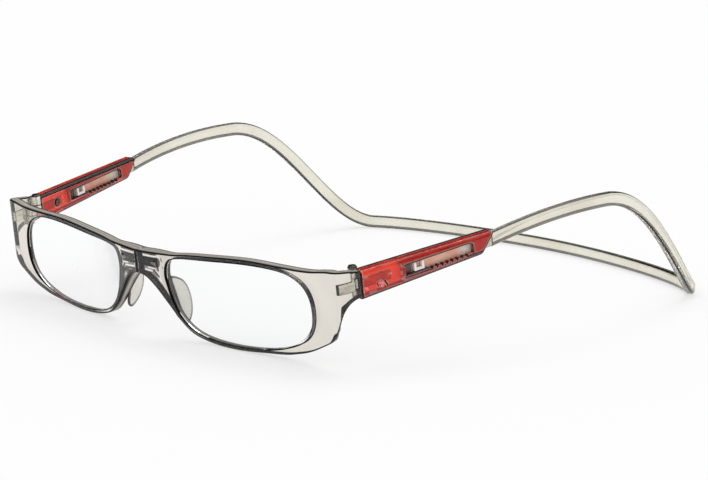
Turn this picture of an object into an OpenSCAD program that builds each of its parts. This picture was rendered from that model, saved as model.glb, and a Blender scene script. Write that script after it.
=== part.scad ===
// Neck reading glasses that part at the bridge. Each half of the front hinges on a hollow
// sleeve, and both sleeves slide on the ends of one springy neck band.
// X runs across the face, Y from the front to the back, Z up from the table.

/* [Front] */
// Angle by which each half of the front sweeps back from the bridge
wrap_angle = 7.5; // [5:0.5:10]
// Angle by which the top of the front leans forwards of its foot
lean_angle = 7; // [4:0.5:10]
// Width of a lens opening
lens_w = 51; // [47:0.5:54]
// Height of a lens opening
lens_h = 23; // [20:0.5:27]
// Distance from the middle plane to a lens opening
nose_half = 10; // [9:0.5:12]
// Width of the rim bars, seen from the front
rim_w = 1.2; // [1.1:0.1:2]
// Depth of the rim, from front to back
rim_t = 2.8; // [2.6:0.1:3.6]
// Width of the endpiece beside the lens, up to the corner
endpiece_w = 7; // [5:0.5:9]
// Inner radius of the corner where the front turns back
corner_in = 0.5; // [0.3:0.1:2]
// Straight length of the endpiece behind the corner
endpiece_run = 5.2; // [4.5:0.1:8]
// Depth of the bridge blocks that hold the magnets
bridge_t = 4; // [3.8:0.1:5]

/* [Lenses and magnets] */
// Depth of the groove that holds a lens
groove_depth = 0.5; // [0.3:0.05:0.8]
// Thickness of a lens at its edge
lens_edge_t = 1; // [0.8:0.1:1.3]
// Radius of the front surface of a lens
lens_radius = 300; // [260:10:600]
// Diameter of a bridge magnet
magnet_d = 2.6; // [2:0.1:2.8]
// Length of a bridge magnet
magnet_l = 7; // [5:0.5:8]

/* [Hinges] */
// Diameter of the hinge barrel
barrel_d = 2.6; // [2.2:0.1:3]
// Height of the hinge barrel
barrel_h = 8; // [7:0.2:9]
// Diameter of the hinge screw's shank
screw_d = 1.2; // [1:0.1:1.4]
// Thickness of the hinge leaves
leaf_t = 0.9; // [0.7:0.1:1.1]
// Height of the tongues that anchor the hinge leaves
leaf_h = 2.8; // [2.2:0.1:3.4]
// Length of the tongue moulded into the endpiece
front_leaf_l = 6; // [5:0.5:7]
// Length of the tongue in the sleeve
sleeve_leaf_l = 10; // [8:0.5:11]

/* [Sleeves] */
// Length of a sleeve
sleeve_l = 42; // [38:0.5:46]
// Height of a sleeve at the hinge
sleeve_h = 7.6; // [7:0.1:9]
// Height of a sleeve where the band comes out
sleeve_end_h = 5.2; // [4.8:0.1:6]
// Length by which a sleeve's rear end slants, from its top to its foot
end_slant = 4.2; // [2:0.2:5]
// Thickness of a sleeve
sleeve_t = 4.6; // [4.4:0.1:5.4]
// Angle by which the sleeves spread towards the back
splay_angle = 9; // [6:0.5:11]
// Angle by which the sleeves rise from the front
rise_angle = 3; // [1:0.5:5]
// Length of the window that goes through both walls
window_l = 21.5; // [19:0.5:22]
// Distance between the ratchet teeth along the window
tooth_pitch = 1.6; // [1.2:0.1:2.2]

/* [Neck band] */
// Height of the band's section beside the neck
band_h = 3.9; // [3.6:0.1:5]
// Thickness of the band
band_t = 2.7; // [2.5:0.1:3.6]
// Height of the band's section at the nape
nape_h = 3.6; // [3.2:0.1:5]
// Distance from the front plane to the middle of the nape span
band_reach = 160.5; // [150:0.5:190]
// Half width of the band where it turns in to the nape
band_half_w = 69; // [62:0.5:76]
// Height of the band's crest above the table
crest_z = 35; // [30:0.5:42]

/* [Hidden] */

// Clearances
face_gap = 0.04;
seat_gap = 0.02;
run_gap = 0.1;
slide_gap = 0.1;
shoulder_gap = 0.3;

// Colours
clear_grey = [0.72, 0.7, 0.66, 0.6];
clear_warm = [0.86, 0.83, 0.76, 0.7];
sleeve_red = [0.78, 0.1, 0.08, 0.85];
lens_tint = [0.85, 0.9, 0.93, 0.35];
pad_white = [0.9, 0.9, 0.88, 0.8];
nickel = "silver";
magnet_grey = "darkgray";

// Levels on the front, measured along its lean from the foot of the rims
lens_foot = rim_w - 0.3;
lens_top = lens_foot + lens_h;
bridge_top = lens_top;
arch_top = bridge_top - 6.8;
magnet_z = (bridge_top + arch_top) / 2;
magnet_y = bridge_t / 2 - 0.4;
magnet_in = 0.25;
seat_v = 0.95;
front_y = 1;

// Shapes of curves
function cubic(a, b, c, d, t) =
    a * pow(1 - t, 3) + b * 3 * t * pow(1 - t, 2) + c * 3 * t * t * (1 - t) + d * pow(t, 3);
function cubic_run(a, b, c, d, n) = [for (i = [0 : n - 1]) cubic(a, b, c, d, i / n)];
function through(p, q, r, s, t) =
    0.5 * (2 * q + (r - p) * t + (2 * p - 5 * q + 4 * r - s) * t * t
    + (3 * q - p - 3 * r + s) * t * t * t);
function closed_curve(pts, n) = let (m = len(pts)) [
    for (i = [0 : m - 1])
        for (j = [0 : n - 1])
            through(pts[(i + m - 1) % m], pts[i], pts[(i + 1) % m], pts[(i + 2) % m], j / n)
];
function unit(v) = v / norm(v);
function grown(pts, by) = let (m = len(pts)) [
    for (i = [0 : m - 1])
        let (d = unit(pts[(i + 1) % m] - pts[(i + m - 1) % m]))
        pts[i] + by * [-d.y, d.x]
];
function turn_x(a, p) = [p.x, p.y * cos(a) - p.z * sin(a), p.y * sin(a) + p.z * cos(a)];
function turn_z(a, p) = [p.x * cos(a) - p.y * sin(a), p.x * sin(a) + p.y * cos(a), p.z];

// Outline of a lens opening: shares of its width and height, clockwise from the nasal side
lens_shape = [
    [0, 0.74], [0.022, 0.88], [0.09, 0.935], [0.3, 0.97], [0.57, 1], [0.79, 0.98],
    [0.912, 0.9], [0.978, 0.76], [1, 0.565], [0.98, 0.36], [0.92, 0.2], [0.81, 0.085],
    [0.66, 0.02], [0.475, 0], [0.3, 0.025], [0.17, 0.1], [0.085, 0.24], [0.035, 0.42],
    [0.01, 0.6]
];
lens_outline = closed_curve(
    [for (p = lens_shape) [nose_half + p.x * lens_w, lens_foot + p.y * lens_h]], 4
);

// The corner and the endpiece, in the plane that the front half lies along
corner_u = nose_half + lens_w + endpiece_w;
corner_r = corner_in + rim_t;
corner_turn = 90 - splay_angle - wrap_angle;
corner_end = [corner_u + corner_r * sin(corner_turn), corner_r * (1 - cos(corner_turn))];
wall_end = corner_end + endpiece_run * [cos(corner_turn), sin(corner_turn)];
hinge_at = turn_z(wrap_angle, [wall_end.x, wall_end.y, 0]);
sleeve_z = arch_top + 3.1;
foot_drop = min([
    for (p = grown(lens_outline, rim_w)) p.y * cos(lean_angle)
    + p.x * sin(wrap_angle) * sin(lean_angle)
]);

// Points of a hinge or a sleeve carried into the frame of the whole
function from_hinge(p) =
    turn_x(lean_angle, turn_z(-splay_angle, p) + hinge_at) + [0, front_y, -foot_drop];
function from_sleeve(p) = from_hinge(turn_x(rise_angle, p) + [0, 0, sleeve_z]);

// Places of the hinge barrel, across the sleeve and up the front
axis_in = rim_t + 1.1;
barrel_foot = sleeve_z + sleeve_h / 2 + 0.6 - barrel_h;
knuckle_h = (barrel_h - 2 * run_gap) / 3;
plate_out = -axis_in + barrel_d / 2 - 0.1;

// Channel, window and tongue of a sleeve
tongue_t = 2.3;
tongue_h = 3.2;
tongue_start = sleeve_l - 29;
window_start = tongue_start + 0.7;
clip_start = window_start + 2.9;
clip_l = 3.2;
clip_wall = 0.75;
window_h = 3;
channel_mid = -sleeve_t / 2;
rivet_y = 7.8;

// Sets the whole with the middle of its length over the origin
front_most = front_y - 0.4 * cos(lean_angle) - (bridge_top - 0.5) * sin(lean_angle);
middle_y = (front_most + band_reach + band_t / 2) / 2;

module placed() {
    translate([0, -middle_y, 0]) children();
}

module front_frame() {
    translate([0, front_y, -foot_drop]) rotate([lean_angle, 0, 0]) children();
}

module panel_frame() {
    front_frame() rotate([0, 0, wrap_angle]) children();
}

module hinge_frame() {
    front_frame() translate(hinge_at) rotate([0, 0, -splay_angle]) children();
}

module sleeve_frame() {
    hinge_frame() translate([0, 0, sleeve_z]) rotate([rise_angle, 0, 0]) children();
}

// Lifts a flat outline into the panel, from depth v0 to v1
module panel_plate(v0, v1) {
    translate([0, v1, 0]) rotate([90, 0, 0]) linear_extrude(v1 - v0) children();
}

module right_side() {
    mirror([1, 0, 0]) children();
}

module front_outline() {
    far = wall_end.x + 6;
    union() {
        polygon(grown(lens_outline, rim_w));
        polygon(concat(
            [[-4, bridge_top - 0.5], [-4, arch_top]],
            cubic_run(
                [0, arch_top], [5, arch_top - 0.2], [nose_half - 2, arch_top - 6],
                [nose_half + 3.2, lens_foot + 5], 14
            ),
            [[nose_half + 6, lens_foot + 6], [nose_half + 7, bridge_top - 0.5]]
        ));
        polygon(concat(
            [[nose_half + 0.72 * lens_w, lens_top + rim_w - 0.3], [nose_half + 0.6 * lens_w, 6]],
            cubic_run(
                [nose_half + 0.6 * lens_w, 0.2], [nose_half + 0.86 * lens_w, -0.3],
                [wall_end.x - 5.7, 3], [wall_end.x - 1.7, sleeve_z - 6.3], 16
            ),
            [[far, sleeve_z - 3], [far, sleeve_z + sleeve_h / 2 + 1.3],
            [corner_u, sleeve_z + sleeve_h / 2 + 1.4],
            [nose_half + lens_w + 0.5, lens_top + 0.75]]
        ));
    }
}

// Plan of the wall: the flat front, the corner and the run back to the hinge
module wall_plan() {
    steps = 16;
    outer = [for (i = [0 : steps]) let (a = corner_turn * i / steps)
        [corner_u + corner_r * sin(a), corner_r * (1 - cos(a))]];
    inner = [for (i = [steps : -1 : 0]) let (a = corner_turn * i / steps)
        [corner_u + (corner_r - rim_t) * sin(a), corner_r - (corner_r - rim_t) * cos(a)]];
    back = rim_t * [-sin(corner_turn), cos(corner_turn)];
    polygon(concat([[-4, 0]], outer, [wall_end, wall_end + back], inner, [[-4, rim_t]]));
}

// Side view of the endpiece, from the hinge forwards
module endpiece_side() {
    top = sleeve_z + sleeve_h / 2 + 0.3;
    foot = sleeve_z - sleeve_h / 2;
    run = corner_u;
    edge = rim_t - endpiece_run - corner_r - 0.3;
    polygon(concat(
        [[0.5, top - 0.3], [-7, top + 1.2], [-14, top + 7], [-run, top + 7], [-run, -5]],
        [[edge, -5]],
        cubic_run([edge, foot - 8], [edge, foot - 1.2], [edge + 1, foot + 0.4],
            [-0.1, foot + 0.4], 14),
        [[0.5, foot + 0.4]]
    ));
}

module front_half() {
    proud = 0.4;
    back = bridge_t - proud;
    color(clear_grey)
    difference() {
        union() {
            intersection() {
                panel_frame() translate([0, 0, -2]) linear_extrude(lens_top + 8) wall_plan();
                panel_frame() panel_plate(-3, 4 * corner_r) front_outline();
                hinge_frame() rotate([90, 0, 90]) translate([0, 0, -2 * corner_u])
                    linear_extrude(4 * corner_u) endpiece_side();
            }
            intersection() {
                panel_frame() linear_extrude(lens_top + 4) polygon([
                    [-4, -proud], [nose_half - 3, -proud], [nose_half - 1, 0],
                    [nose_half - 1, rim_t], [nose_half - 2.5, back], [-4, back]
                ]);
                panel_frame() panel_plate(-4, 8) front_outline();
            }
        }
        panel_frame() panel_plate(-5, rim_t + 3) polygon(lens_outline);
        panel_frame() panel_plate(seat_v - seat_gap, seat_v + lens_edge_t + seat_gap)
            polygon(grown(lens_outline, groove_depth));
        front_frame() translate([face_gap / 2 - 30, -20, -5]) cube([30, 60, lens_top + 15]);
        front_frame() translate([-1, magnet_y, magnet_z]) rotate([0, 90, 0])
            cylinder(d = magnet_d + 2 * seat_gap, h = magnet_in + magnet_l + seat_gap + 1,
                $fn = 48);
        hinge_frame() front_leaf_space(seat_gap);
        hinge_frame() translate([-axis_in, 0, barrel_foot - run_gap])
            cylinder(d = barrel_d + 2 * run_gap, h = barrel_h + 2, $fn = 48);
    }
}

module lens() {
    mid_u = nose_half + lens_w / 2;
    mid_z = lens_foot + lens_h / 2;
    reach = 0.5 * norm([lens_w, lens_h]) + 1;
    crown = lens_radius - sqrt(lens_radius * lens_radius - reach * reach);
    rings = 14;
    back = seat_v + lens_edge_t;
    color(lens_tint)
    panel_frame() union() {
        panel_plate(seat_v, back) polygon(grown(lens_outline, groove_depth - seat_gap));
        intersection() {
            panel_plate(-4, back) polygon(grown(lens_outline, -seat_gap));
            translate([mid_u, back, mid_z]) rotate([90, 0, 0])
                rotate_extrude($fn = 96) polygon(concat(
                    [[0, 0]],
                    [for (i = [rings : -1 : 0]) let (r = reach * i / rings) [
                        r, lens_edge_t + crown - lens_radius
                        + sqrt(lens_radius * lens_radius - r * r)
                    ]]
                ));
        }
    }
}

module bridge_magnet() {
    color(magnet_grey)
    front_frame() translate([magnet_in, magnet_y, magnet_z]) rotate([0, 90, 0])
        cylinder(d = magnet_d, h = magnet_l, $fn = 48);
}

// A leaf-shaped pad whose flat root sits on the back of the rim beside the nose
module nose_pad() {
    pad_t = 1.5;
    pad_l = 13.5;
    slant = 17;
    spread = 22;
    leaf = concat(
        [[-2, 0], [0, 0]],
        cubic_run([0, 0.4], [1.4, 3], [3, 4.8], [7, 4.8], 8),
        cubic_run([7, 4.8], [10, 4.8], [pad_l, 4.6], [pad_l, 1.6], 8),
        [[pad_l, 1.6], [pad_l - 1, 0], [pad_l - 1, -2]]
    );
    color(pad_white)
    panel_frame() intersection() {
        translate([nose_half - 0.7, rim_t, arch_top - 0.6]) rotate([0, 90 - slant, 0])
            rotate([spread, 0, 0]) translate([0, 0, -pad_t / 2])
            linear_extrude(pad_t) polygon(leaf);
        translate([nose_half - 0.95, rim_t, -5]) cube([60, 20, 60]);
    }
}

// Hinge barrel pieces, standing on the hinge axis
module knuckle(level, bore) {
    translate([-axis_in, 0, barrel_foot + level * (knuckle_h + run_gap)]) difference() {
        cylinder(d = barrel_d, h = knuckle_h, $fn = 48);
        translate([0, 0, -1]) cylinder(d = bore, h = knuckle_h + 2, $fn = 32);
    }
}

// The tongue, flange and webs of the front leaf, grown by a clearance
module front_leaf_space(grow) {
    plate_x = -rim_t;
    web = barrel_d / 2;
    past = grow > 0 ? 1 : 0;
    translate([plate_x - grow, -front_leaf_l, sleeve_z - leaf_h / 2 - grow])
        cube([leaf_t + 2 * grow, front_leaf_l - web, leaf_h + 2 * grow]);
    translate([plate_x - grow, -web - 0.9, barrel_foot + 0.4 - grow])
        cube([leaf_t + 2 * grow, 0.8, barrel_h - 1.2 + 2 * grow]);
    for (level = [0, 2]) translate([0, 0, barrel_foot + level * (knuckle_h + run_gap)]) {
        translate([plate_x - grow, -web - 0.4, 0.2 - grow])
            cube([leaf_t + 2 * grow, web + 0.4 - face_gap + past, knuckle_h - 0.4 + 2 * grow]);
        translate([-axis_in - grow, -web - grow, -grow])
            cube([axis_in - rim_t + 0.3 + 2 * grow, web - face_gap + grow + past, knuckle_h + 2 * grow]);
    }
}

module hinge_front_leaf() {
    color(nickel)
    hinge_frame() difference() {
        union() {
            front_leaf_space(0);
            for (level = [0, 2]) knuckle(level, screw_d);
        }
        translate([-axis_in, 0, barrel_foot - 1])
            cylinder(d = screw_d, h = barrel_h + 2, $fn = 32);
    }
}

// The plate lies along the outer side of the barrel
module sleeve_leaf_plate(grow) {
    translate([plate_out - leaf_t - grow, -grow, -leaf_h / 2 + 0.2 - grow])
        cube([leaf_t + 2 * grow, sleeve_leaf_l + 2 * grow, leaf_h - 0.4 + 2 * grow]);
}

module hinge_sleeve_leaf() {
    color(nickel)
    difference() {
        union() {
            hinge_frame() knuckle(1, screw_d);
            sleeve_frame() sleeve_leaf_plate(0);
        }
        hinge_frame() translate([-axis_in, 0, barrel_foot - 1])
            cylinder(d = screw_d, h = barrel_h + 2, $fn = 32);
        for (level = [0, 2])
            hinge_frame() translate([
                -axis_in, 0, barrel_foot + level * (knuckle_h + run_gap) - 0.6 * run_gap
            ]) cylinder(d = barrel_d + 2 * run_gap, h = knuckle_h + 1.2 * run_gap, $fn = 48);
        sleeve_frame() rivet_shape(seat_gap);
    }
}

module hinge_screw() {
    color(nickel)
    hinge_frame() translate([-axis_in, 0, barrel_foot]) difference() {
        union() {
            translate([0, 0, 0.1]) cylinder(d = screw_d - 2 * seat_gap, h = barrel_h - 0.1, $fn = 32);
            translate([0, 0, barrel_h]) cylinder(d = barrel_d - 0.5, h = 0.45, $fn = 32);
        }
        translate([-0.2, -barrel_d, barrel_h + 0.2]) cube([0.4, 2 * barrel_d, 1]);
    }
}

// A rivet through the leaf, with a low head on the inner side
module rivet_shape(grow) {
    inner_x = -sleeve_t;
    translate([inner_x - 0.3, rivet_y, 0]) rotate([0, 90, 0]) {
        cylinder(d = 1.2 + 2 * grow, h = 2.6 + grow, $fn = 32);
        cylinder(d = 2 + 2 * grow, h = 0.3 + grow, $fn = 32);
    }
}

module leaf_rivet() {
    color(nickel) sleeve_frame() rivet_shape(0);
}

function rounded(w, h, r) = [
    for (c = [[1, 1, 0], [-1, 1, 90], [-1, -1, 180], [1, -1, 270]])
        for (i = [0 : 3]) let (a = c.z + 30 * i)
        [c.x * (w / 2 - r) + r * cos(a), c.y * (h / 2 - r) + r * sin(a)]
];

module sleeve_blank() {
    hull() for (e = [[0, sleeve_h], [sleeve_l, sleeve_end_h]])
        translate([-sleeve_t / 2, e.x, 0]) rotate([90, 0, 0])
            translate([0, 0, e.x > 0 ? 0 : -0.01])
            linear_extrude(0.01) polygon(rounded(sleeve_t, e.y, 0.9));
}

module sleeve() {
    window_end = window_start + window_l;
    slope = end_slant / (sleeve_end_h - 0.6);
    teeth_start = clip_start + clip_l + 0.6;
    teeth = floor((window_end - teeth_start - 0.6) / tooth_pitch);
    color(sleeve_red)
    sleeve_frame() difference() {
        sleeve_blank();
        // Channel for the band's tongue, open at the rear
        translate([
            channel_mid - tongue_t / 2 - slide_gap, tongue_start - 0.5,
            -tongue_h / 2 - slide_gap
        ]) cube([tongue_t + 2 * slide_gap, sleeve_l, tongue_h + 2 * slide_gap]);
        // Window through both walls, with a row of ratchet teeth along its foot
        translate([1, 0, 0]) rotate([90, 0, -90]) mirror([1, 0, 0])
            linear_extrude(sleeve_t + 2) polygon(concat(
                [[window_start, -window_h / 2 + 0.4], [window_start, window_h / 2],
                [window_end - 0.6, window_h / 2], [window_end, window_h / 2 - 0.6],
                [window_end, -window_h / 2 + 0.4]],
                [for (i = [teeth : -1 : 1]) each [
                    [teeth_start + i * tooth_pitch, -window_h / 2 + 0.4],
                    [teeth_start + i * tooth_pitch, -window_h / 2 - 0.2],
                    [teeth_start + (i - 0.75) * tooth_pitch, -window_h / 2 + 0.4]
                ]]
            ));
        // Slot of the hinge leaf and room for the barrel
        sleeve_leaf_plate(seat_gap);
        translate([plate_out - leaf_t - seat_gap, -1, -leaf_h / 2 + 0.2 - seat_gap])
            cube([leaf_t + 2 * seat_gap, 2, leaf_h - 0.4 + 2 * seat_gap]);
        rotate([-rise_angle, 0, 0]) translate([-axis_in, 0, -sleeve_h])
            cylinder(d = barrel_d + 2 * run_gap, h = 2 * sleeve_h, $fn = 48);
        rotate([-rise_angle, 0, 0]) translate([-axis_in - 3, -3, -sleeve_h])
            cube([3, 3 + barrel_d / 2 + run_gap, 2 * sleeve_h]);
        rotate([-rise_angle, 0, 0]) translate([-sleeve_t - 1, -2, -sleeve_h])
            cube([sleeve_t + 2, 2 + run_gap, 2 * sleeve_h]);
        rivet_shape(seat_gap);
        // Slanted rear end
        translate([-sleeve_t - 1, 0, 0]) rotate([90, 0, 90]) linear_extrude(sleeve_t + 2)
            polygon([
                [sleeve_l - end_slant - slope, -sleeve_end_h / 2 - 1],
                [sleeve_l + 3, -sleeve_end_h / 2 - 1], [sleeve_l + 3, sleeve_end_h / 2 + 1],
                [sleeve_l - end_slant + slope * (sleeve_end_h + 1), sleeve_end_h / 2 + 1]
            ]);
    }
}

// A U-shaped clip that grips the tongue and rides in the window
module clip_shape(grow) {
    leg = clip_wall;
    proud = -sleeve_t + 0.25;
    deep = -0.25;
    difference() {
        translate([proud - grow, clip_start - grow, -window_h / 2 + 0.5 - grow])
            cube([deep - proud + 2 * grow, clip_l + 2 * grow, window_h - 0.7 + 2 * grow]);
        translate([proud - 1, clip_start + leg + grow, -window_h / 2 + 0.5 + leg + grow])
            cube([deep - proud + 2, clip_l - 2 * leg - 2 * grow, window_h]);
    }
}

module catch_clip() {
    color(nickel) sleeve_frame() clip_shape(0);
}

// The band's centre line: share t of the way from a sleeve to the middle of the nape
side_turn = 31.8;
band_start = from_sleeve([channel_mid, sleeve_l + shoulder_gap, 0]);
band_next = from_sleeve([channel_mid, sleeve_l + shoulder_gap + 1, 0]);
band_dir = unit([band_next.x - band_start.x, band_next.y - band_start.y]);
band_corner = [band_half_w, band_reach - 17.5];
corner_dir = [-sin(side_turn), cos(side_turn)];
nape_mid = [0, band_reach];
crest_share = 0.259;
drop_share = 0.574;
drop_skew = 0.21;
function plan_point(k) = k < 1
    ? cubic(
        [band_start.x, band_start.y], [band_start.x, band_start.y] + 25.1 * band_dir,
        band_corner - 21.9 * corner_dir, band_corner, k
    )
    : cubic(
        band_corner, band_corner + 10.7 * corner_dir, nape_mid + [26.7, 0], nape_mid, k - 1
    );
plan_steps = 80;
plan_legs = [for (i = [1 : plan_steps])
    norm(plan_point(2 * i / plan_steps) - plan_point(2 * (i - 1) / plan_steps))];
plan_table = [for (i = 0, run = 0; i <= plan_steps; run = run + (i < plan_steps
    ? plan_legs[i] : 0), i = i + 1) [run, 2 * i / plan_steps]];
plan_length = plan_table[plan_steps][0];
function band_plan(t) = plan_point(min(2, lookup(t * plan_length, plan_table)));
function clamp01(x) = min(1, max(0, x));
function fall(w) = let (v = w - drop_skew * w * (1 - w)) v * v * (3 - 2 * v);
function climb(x) = pow(1 - clamp01(x), 2);
function band_z(t) = crest_z - (crest_z - section_h(t) / 2)
    * fall(clamp01((t - crest_share) / (drop_share - crest_share)))
    - (crest_z - band_start.z) * climb(t / crest_share);
function band_at(t) = concat(band_plan(t), band_z(t));
function band_along(t) = t <= 0 ? unit(from_sleeve([0, 1, 0]) - from_sleeve([0, 0, 0]))
    : t >= 1 ? [-1, 0, 0]
    : unit(band_at(min(1, t + 0.004)) - band_at(max(0, t - 0.004)));
function band_out(t) = let (d = band_along(t)) unit([d.y, -d.x, 0]);
function band_up(t) = cross(band_out(t), band_along(t));
function section_h(t) = band_h + (nape_h - band_h) * clamp01((t - 0.3) / 0.5);
band_rings = 64;
function tube_faces(rings, sides) = concat(
    [[for (j = [sides - 1 : -1 : 0]) j]],
    [for (i = [0 : rings - 1]) for (j = [0 : sides - 1]) each [
        [i * sides + j, i * sides + (j + 1) % sides, (i + 1) * sides + j],
        [(i + 1) * sides + j, i * sides + (j + 1) % sides, (i + 1) * sides + (j + 1) % sides]
    ]],
    [[for (j = [0 : sides - 1]) rings * sides + j]]
);

module band_sweep() {
    sides = 16;
    pts = [for (i = [0 : band_rings]) let (
        t = i / band_rings, at = band_at(t), out = band_out(t), up = band_up(t)
    ) for (q = rounded(band_t, section_h(t), 1.1)) at + q.x * out + q.y * up];
    polyhedron(points = pts, faces = tube_faces(band_rings, sides), convexity = 6);
}

module band_half() {
    color(clear_warm) band_sweep();
}

// The flat end of the band, which slides in the sleeve
module band_end() {
    color(clear_warm)
    sleeve_frame() difference() {
        translate([channel_mid - tongue_t / 2, tongue_start, -tongue_h / 2])
            cube([tongue_t, sleeve_l + shoulder_gap - tongue_start, tongue_h]);
        clip_shape(seat_gap);
    }
}

placed() front_half();  // front_half_left
placed() lens();  // lens_left
placed() bridge_magnet();  // bridge_magnet_left
placed() nose_pad();  // nose_pad_left
placed() hinge_front_leaf();  // hinge_front_leaf_left
placed() hinge_sleeve_leaf();  // hinge_sleeve_leaf_left
placed() hinge_screw();  // hinge_screw_left
placed() sleeve();  // sleeve_left
placed() leaf_rivet();  // leaf_rivet_left
placed() catch_clip();  // catch_clip_left
placed() band_end();  // band_end_left
placed() band_half();  // band_half_left
right_side() placed() front_half();  // front_half_right
right_side() placed() lens();  // lens_right
right_side() placed() bridge_magnet();  // bridge_magnet_right
right_side() placed() nose_pad();  // nose_pad_right
right_side() placed() hinge_front_leaf();  // hinge_front_leaf_right
right_side() placed() hinge_sleeve_leaf();  // hinge_sleeve_leaf_right
right_side() placed() hinge_screw();  // hinge_screw_right
right_side() placed() sleeve();  // sleeve_right
right_side() placed() leaf_rivet();  // leaf_rivet_right
right_side() placed() catch_clip();  // catch_clip_right
right_side() placed() band_end();  // band_end_right
right_side() placed() band_half();  // band_half_right
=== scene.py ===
import bpy
import bmesh
import math
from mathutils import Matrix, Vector
from mathutils.kdtree import KDTree


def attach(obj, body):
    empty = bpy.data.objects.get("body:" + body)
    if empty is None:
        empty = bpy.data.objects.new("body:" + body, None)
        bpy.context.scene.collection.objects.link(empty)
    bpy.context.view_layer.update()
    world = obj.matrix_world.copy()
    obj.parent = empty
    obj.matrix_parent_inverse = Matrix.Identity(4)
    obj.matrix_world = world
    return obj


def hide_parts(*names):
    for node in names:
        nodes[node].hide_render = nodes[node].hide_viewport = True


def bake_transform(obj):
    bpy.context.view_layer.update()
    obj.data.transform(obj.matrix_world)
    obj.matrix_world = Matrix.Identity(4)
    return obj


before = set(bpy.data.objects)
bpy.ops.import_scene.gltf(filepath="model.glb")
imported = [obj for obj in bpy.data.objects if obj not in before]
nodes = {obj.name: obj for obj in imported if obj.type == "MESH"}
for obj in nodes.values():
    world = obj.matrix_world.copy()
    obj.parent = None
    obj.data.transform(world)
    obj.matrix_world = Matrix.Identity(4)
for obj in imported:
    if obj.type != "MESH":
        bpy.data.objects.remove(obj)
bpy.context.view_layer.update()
print("frame loaded:", len(nodes), "nodes")

sides = [("left", 1), ("right", -1)]

# how the front stands on the table, in metres and degrees
front = {
    "wrap": 7.5, "lean": 7.0, "splay": 9.0,
    "noseHalf": 0.010, "lensW": 0.051, "lensH": 0.023, "lensFoot": 0.0009,
    "rimT": 0.0028, "cornerU": 0.068, "cornerR": 0.0033,
    "bridgeProud": 0.0004, "bridgeBack": 0.0036, "bridgeFade": (0.0125, -0.008),
    "frontY": 0.001, "middleY": 0.079800619, "footDrop": 0.00024657,
}


def throughPoints(pts, steps, closed=True):
    # a smooth line through the points, with as many steps between two of them
    out = []
    count = len(pts)
    for i in range(count if closed else count - 1):
        p = pts[i - 1] if closed or i > 0 else pts[0]
        q = pts[i]
        r = pts[(i + 1) % count]
        s = pts[(i + 2) % count] if closed else pts[min(count - 1, i + 2)]
        for j in range(steps):
            t = j / steps
            out.append(tuple(
                0.5 * (2 * q[k] + (r[k] - p[k]) * t
                       + (2 * p[k] - 5 * q[k] + 4 * r[k] - s[k]) * t * t
                       + (3 * q[k] - p[k] - 3 * r[k] + s[k]) * t ** 3)
                for k in range(len(q))))
    if not closed:
        out.append(tuple(pts[-1]))
    return out


def bezier(a, b, c, d, t):
    w = ((1 - t) ** 3, 3 * t * (1 - t) ** 2, 3 * t * t * (1 - t), t ** 3)
    return tuple(w[0] * a[k] + w[1] * b[k] + w[2] * c[k] + w[3] * d[k] for k in range(len(a)))


def moved(pts, by):
    # pushes a clockwise outline outwards by one distance, or by one for each point
    out = []
    for i, p in enumerate(pts):
        q, r = pts[i - 1], pts[(i + 1) % len(pts)]
        dx, dz = r[0] - q[0], r[1] - q[1]
        size = math.hypot(dx, dz) or 1
        step = by[i] if isinstance(by, list) else by
        out.append((p[0] - step * dz / size, p[1] + step * dx / size))
    return out


def eased01(t):
    t = min(1, max(0, t))
    return t * t * (3 - 2 * t)


def ramp(value, start, reach):
    # 0 up to the start and 1 past the reach, or the other way round with a negative reach
    return eased01((value - start) / reach)


def panelPoint(s, v, z):
    # s runs along the front's outer face and round its corner, v goes in from that face
    turn = math.radians(90 - front["splay"] - front["wrap"])
    bend, radius = front["cornerU"], front["cornerR"]
    x, y = s, v
    if s > bend:
        a = min((s - bend) / radius, turn)
        rest = s - bend - radius * a
        x = bend + radius * math.sin(a) + rest * math.cos(a) - v * math.sin(a)
        y = radius * (1 - math.cos(a)) + rest * math.sin(a) + v * math.cos(a)
    wrap, lean = math.radians(front["wrap"]), math.radians(front["lean"])
    px = max(x * math.cos(wrap) - y * math.sin(wrap), 0.00002)
    py = x * math.sin(wrap) + y * math.cos(wrap)
    return Vector((
        px,
        py * math.cos(lean) - z * math.sin(lean) + front["frontY"] - front["middleY"],
        py * math.sin(lean) + z * math.cos(lean) - front["footDrop"]))


def mirrored(bm, sign):
    # faces are turned outwards before the right-hand copy is made
    bmesh.ops.recalc_face_normals(bm, faces=bm.faces)
    if bm.calc_volume(signed=True) < 0:
        bmesh.ops.reverse_faces(bm, faces=bm.faces)
    if sign < 0:
        for vert in bm.verts:
            vert.co.x = -vert.co.x
        bmesh.ops.reverse_faces(bm, faces=bm.faces)


def addPiece(name, bm, mat, paintedLightMask, angle):
    if bm.calc_volume(signed=True) < 0:
        bmesh.ops.reverse_faces(bm, faces=bm.faces)
    mesh = bpy.data.meshes.new(name)
    bm.to_mesh(mesh)
    bm.free()
    layer = mesh.attributes.new("paintedLightMask", "FLOAT", "POINT")
    layer.data.foreach_set("value", paintedLightMask)
    mesh.shade_smooth()
    mesh.set_sharp_from_angle(angle=math.radians(angle))
    obj = bpy.data.objects.new(name, mesh)
    bpy.context.scene.collection.objects.link(obj)
    mesh.materials.append(mat)
    return obj


def newGroup(name, inputs, outputs):
    group = bpy.data.node_groups.new(name, "ShaderNodeTree")
    for label, kind, value in inputs:
        socket = group.interface.new_socket(label, in_out="INPUT", socket_type=kind)
        socket.default_value = value
    for label, kind in outputs:
        group.interface.new_socket(label, in_out="OUTPUT", socket_type=kind)
    return group, group.nodes.new("NodeGroupInput"), group.nodes.new("NodeGroupOutput")


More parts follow.
